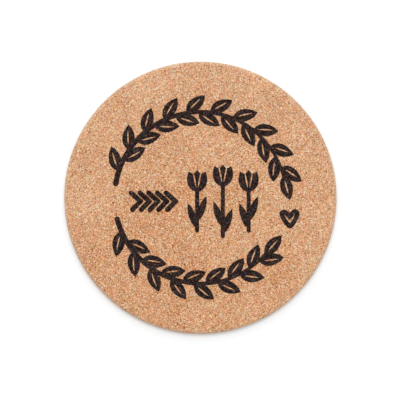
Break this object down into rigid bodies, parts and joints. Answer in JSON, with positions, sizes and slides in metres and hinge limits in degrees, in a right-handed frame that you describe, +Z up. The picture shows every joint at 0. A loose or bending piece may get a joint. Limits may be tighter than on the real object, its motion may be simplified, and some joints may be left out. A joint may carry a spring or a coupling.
{
  "type": "cork coaster",
  "caption": "Round cork coaster with softly rounded edges and a dark floral print on its flat top, to stand a cup or glass on.",
  "frame": {"origin": "middle of the underside", "axes": "+Z up through the top face, +X the way the chevrons point, +Y to the top of the print"},
  "size_m": [0.1, 0.1, 0.0051],
  "materials": {
    "cork": "matt, pressed cork granules, sanded",
    "ink": "matt printed ink film"
  },
  "bodies": {
    "root": {"cork_disc": "cork", "upper_sprig": "ink", "lower_sprig": "ink", "tulip_1": "ink", "tulip_2": "ink", "tulip_3": "ink", "chevron_1": "ink", "chevron_2": "ink", "chevron_3": "ink", "chevron_4": "ink", "chevron_5": "ink", "heart": "ink"}
  },
  "joints": []
}
